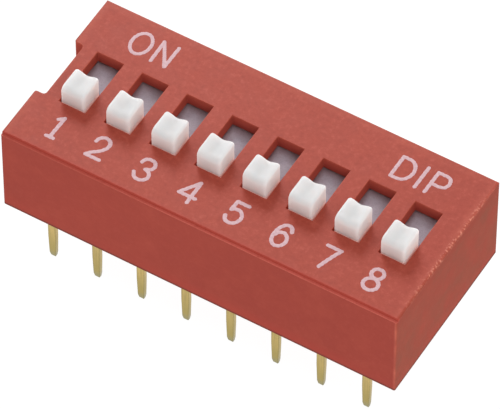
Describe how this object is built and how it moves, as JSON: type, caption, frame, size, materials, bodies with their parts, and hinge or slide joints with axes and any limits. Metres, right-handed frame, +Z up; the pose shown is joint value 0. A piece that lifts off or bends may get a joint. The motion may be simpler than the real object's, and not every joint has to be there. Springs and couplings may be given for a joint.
{
  "type": "dip switch",
  "caption": "Through-hole DIP slide switch: red moulded body with a row of white sliding knobs in slots and two rows of tapered pins.",
  "frame": {"origin": "centre of the pin pattern on the seating plane, where the cover's bottom rim meets the circuit board", "axes": "+X from switch 1 to switch 8 along the body, +Y from the numbered side to the ON side, +Z up out of the board"},
  "size_m": [0.022, 0.0098, 0.0103],
  "materials": {
    "cover_plastic": "fine moulded texture, red",
    "base_plastic": "moulded, red",
    "actuator_plastic": "smooth, white",
    "contact_metal": "gold plated strip",
    "terminal_metal": "plated stamped strip"
  },
  "bodies": {
    "housing": {"cover": "cover_plastic", "base": "base_plastic", "terminal_front_1": "terminal_metal", "terminal_front_2": "terminal_metal", "terminal_front_3": "terminal_metal", "terminal_front_4": "terminal_metal", "terminal_front_5": "terminal_metal", "terminal_front_6": "terminal_metal", "terminal_front_7": "terminal_metal", "terminal_front_8": "terminal_metal", "terminal_back_1": "terminal_metal", "terminal_back_2": "terminal_metal", "terminal_back_3": "terminal_metal", "terminal_back_4": "terminal_metal", "terminal_back_5": "terminal_metal", "terminal_back_6": "terminal_metal", "terminal_back_7": "terminal_metal", "terminal_back_8": "terminal_metal"},
    "slider_1": {"actuator_1": "actuator_plastic", "contact_1": "contact_metal"},
    "slider_2": {"actuator_2": "actuator_plastic", "contact_2": "contact_metal"},
    "slider_3": {"actuator_3": "actuator_plastic", "contact_3": "contact_metal"},
    "slider_4": {"actuator_4": "actuator_plastic", "contact_4": "contact_metal"},
    "slider_5": {"actuator_5": "actuator_plastic", "contact_5": "contact_metal"},
    "slider_6": {"actuator_6": "actuator_plastic", "contact_6": "contact_metal"},
    "slider_7": {"actuator_7": "actuator_plastic", "contact_7": "contact_metal"},
    "slider_8": {"actuator_8": "actuator_plastic", "contact_8": "contact_metal"}
  },
  "joints": [
    {"name": "switch_1", "type": "slide", "parent": "housing", "child": "slider_1", "axis": [0, 1, 0], "range_m": [0, 0.00203]},
    {"name": "switch_2", "type": "slide", "parent": "housing", "child": "slider_2", "axis": [0, 1, 0], "range_m": [0, 0.00203]},
    {"name": "switch_3", "type": "slide", "parent": "housing", "child": "slider_3", "axis": [0, 1, 0], "range_m": [0, 0.00203]},
    {"name": "switch_4", "type": "slide", "parent": "housing", "child": "slider_4", "axis": [0, 1, 0], "range_m": [0, 0.00203]},
    {"name": "switch_5", "type": "slide", "parent": "housing", "child": "slider_5", "axis": [0, 1, 0], "range_m": [0, 0.00203]},
    {"name": "switch_6", "type": "slide", "parent": "housing", "child": "slider_6", "axis": [0, 1, 0], "range_m": [0, 0.00203]},
    {"name": "switch_7", "type": "slide", "parent": "housing", "child": "slider_7", "axis": [0, 1, 0], "range_m": [0, 0.00203]},
    {"name": "switch_8", "type": "slide", "parent": "housing", "child": "slider_8", "axis": [0, 1, 0], "range_m": [0, 0.00203]}
  ]
}
